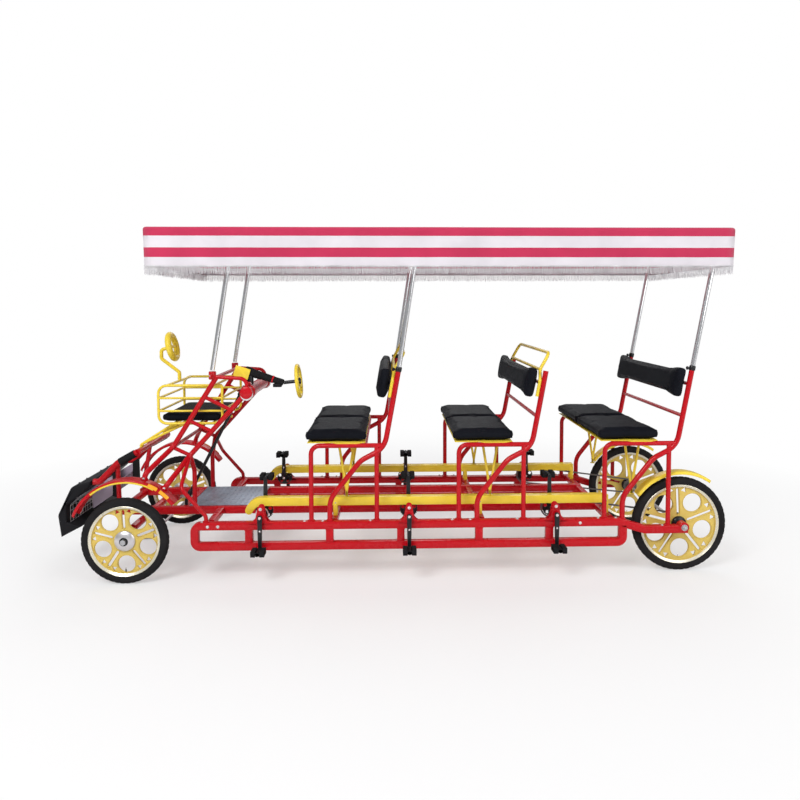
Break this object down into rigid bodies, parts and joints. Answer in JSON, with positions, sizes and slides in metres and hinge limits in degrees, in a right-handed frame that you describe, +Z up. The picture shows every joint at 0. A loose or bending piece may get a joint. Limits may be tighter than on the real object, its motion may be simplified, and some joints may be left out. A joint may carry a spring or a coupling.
{
  "type": "surrey bike",
  "caption": "Pedal-driven quadricycle with rows of bench seats, cranks beside each seat, a steered front axle, a child basket and a striped canopy on poles.",
  "frame": {"origin": "on the ground below the middle of the vehicle's box", "axes": "+X towards the rear, +Y towards the vehicle's right side, +Z up"},
  "size_m": [3.628, 1.232, 1.845],
  "materials": {
    "red_paint": "gloss",
    "yellow_paint": "gloss",
    "black_paint": "satin",
    "vinyl": "satin",
    "chrome": "polished",
    "steel": "satin",
    "tyre": "matte",
    "black_plastic": "matte",
    "cloth": "woven"
  },
  "bodies": {
    "chassis": {"back_pad_1": "vinyl", "back_pad_2": "vinyl", "back_pad_3": "vinyl", "basket_cushion": "vinyl", "bumper": "black_plastic", "canopy": "cloth", "canopy_frame": "chrome", "chain_guard_left": "yellow_paint", "chain_guard_right": "yellow_paint", "chain_left": "steel", "chain_right": "steel", "child_basket": "yellow_paint", "cushion_left_1": "vinyl", "cushion_left_2": "vinyl", "cushion_left_3": "vinyl", "cushion_right_1": "vinyl", "cushion_right_2": "vinyl", "cushion_right_3": "vinyl", "floor_frame": "red_paint", "floor_plate": "steel", "front_axle_beam": "red_paint", "front_fender_left": "red_paint", "front_fender_right": "red_paint", "front_frame": "red_paint", "grab_loop_1": "yellow_paint", "grab_loop_2": "yellow_paint", "hand_ring": "yellow_paint", "lamps": "steel", "nose_frame": "red_paint", "rear_axle": "steel", "rear_fender_left": "yellow_paint", "rear_fender_right": "yellow_paint", "seat_frame_1": "red_paint", "seat_frame_2": "red_paint", "seat_frame_3": "red_paint", "seat_pan_1": "yellow_paint", "seat_pan_2": "yellow_paint", "seat_pan_3": "yellow_paint", "side_frame_left": "red_paint", "side_frame_right": "red_paint", "steering_column": "black_paint", "steering_shaft": "black_paint"},
    "left_knuckle": {"knuckle_left": "steel"},
    "right_knuckle": {"knuckle_right": "steel"},
    "front_left_wheel": {"wheel_front_left": "yellow_paint", "tyre_front_left": "tyre"},
    "front_right_wheel": {"wheel_front_right": "yellow_paint", "tyre_front_right": "tyre"},
    "rear_left_wheel": {"wheel_rear_left": "yellow_paint", "tyre_rear_left": "tyre"},
    "rear_right_wheel": {"wheel_rear_right": "yellow_paint", "tyre_rear_right": "tyre"},
    "steering_tie_rod": {"tie_rod": "steel"},
    "hand_wheel": {"steering_wheel": "yellow_paint"},
    "left_crank_1": {"crank_left_1": "black_paint"},
    "left_crank_2": {"crank_left_2": "black_paint"},
    "left_crank_3": {"crank_left_3": "black_paint"},
    "right_crank_1": {"crank_right_1": "black_paint"},
    "right_crank_2": {"crank_right_2": "black_paint"},
    "right_crank_3": {"crank_right_3": "black_paint"}
  },
  "joints": [
    {"name": "steer_left", "type": "hinge", "parent": "chassis", "child": "left_knuckle", "pos_m": [-1.379, -0.43, 0.224], "axis": [0, 0, 1], "range_deg": [-25, 25]},
    {"name": "steer_right", "type": "hinge", "parent": "chassis", "child": "right_knuckle", "pos_m": [-1.379, 0.43, 0.224], "axis": [0, 0, 1], "range_deg": [-25, 25]},
    {"name": "tie_rod_pivot", "type": "hinge", "parent": "left_knuckle", "child": "steering_tie_rod", "pos_m": [-1.269, -0.43, 0.23], "axis": [0, 0, 1], "range_deg": [-25, 25]},
    {"name": "hand_wheel_turn", "type": "hinge", "parent": "chassis", "child": "hand_wheel", "pos_m": [-0.515, -0.2, 1.01693], "axis": [0.9945, 0, 0.1045], "range_deg": [-75, 75]},
    {"name": "roll_front_left", "type": "hinge", "parent": "left_knuckle", "child": "front_left_wheel", "pos_m": [-1.379, -0.51, 0.224], "axis": [0, 1, 0], "continuous": true},
    {"name": "roll_front_right", "type": "hinge", "parent": "right_knuckle", "child": "front_right_wheel", "pos_m": [-1.379, 0.51, 0.224], "axis": [0, 1, 0], "continuous": true},
    {"name": "roll_rear_left", "type": "hinge", "parent": "chassis", "child": "rear_left_wheel", "pos_m": [1.559, -0.42, 0.255], "axis": [0, 1, 0], "continuous": true},
    {"name": "roll_rear_right", "type": "hinge", "parent": "chassis", "child": "rear_right_wheel", "pos_m": [1.559, 0.42, 0.255], "axis": [0, 1, 0], "continuous": true},
    {"name": "pedal_left_1", "type": "hinge", "parent": "chassis", "child": "left_crank_1", "pos_m": [-0.683, -0.481, 0.338], "axis": [0, 1, 0], "continuous": true},
    {"name": "pedal_left_2", "type": "hinge", "parent": "chassis", "child": "left_crank_2", "pos_m": [0.094, -0.481, 0.338], "axis": [0, 1, 0], "continuous": true},
    {"name": "pedal_left_3", "type": "hinge", "parent": "chassis", "child": "left_crank_3", "pos_m": [0.871, -0.481, 0.338], "axis": [0, 1, 0], "continuous": true},
    {"name": "pedal_right_1", "type": "hinge", "parent": "chassis", "child": "right_crank_1", "pos_m": [-0.683, 0.481, 0.338], "axis": [0, 1, 0], "continuous": true},
    {"name": "pedal_right_2", "type": "hinge", "parent": "chassis", "child": "right_crank_2", "pos_m": [0.094, 0.481, 0.338], "axis": [0, 1, 0], "continuous": true},
    {"name": "pedal_right_3", "type": "hinge", "parent": "chassis", "child": "right_crank_3", "pos_m": [0.871, 0.481, 0.338], "axis": [0, 1, 0], "continuous": true}
  ],
  "couplings": [
    {"joint": "steer_right", "follows": "steer_left", "ratio": 1},
    {"joint": "tie_rod_pivot", "follows": "steer_left", "ratio": -1},
    {"joint": "hand_wheel_turn", "follows": "steer_left", "ratio": 3}
  ]
}
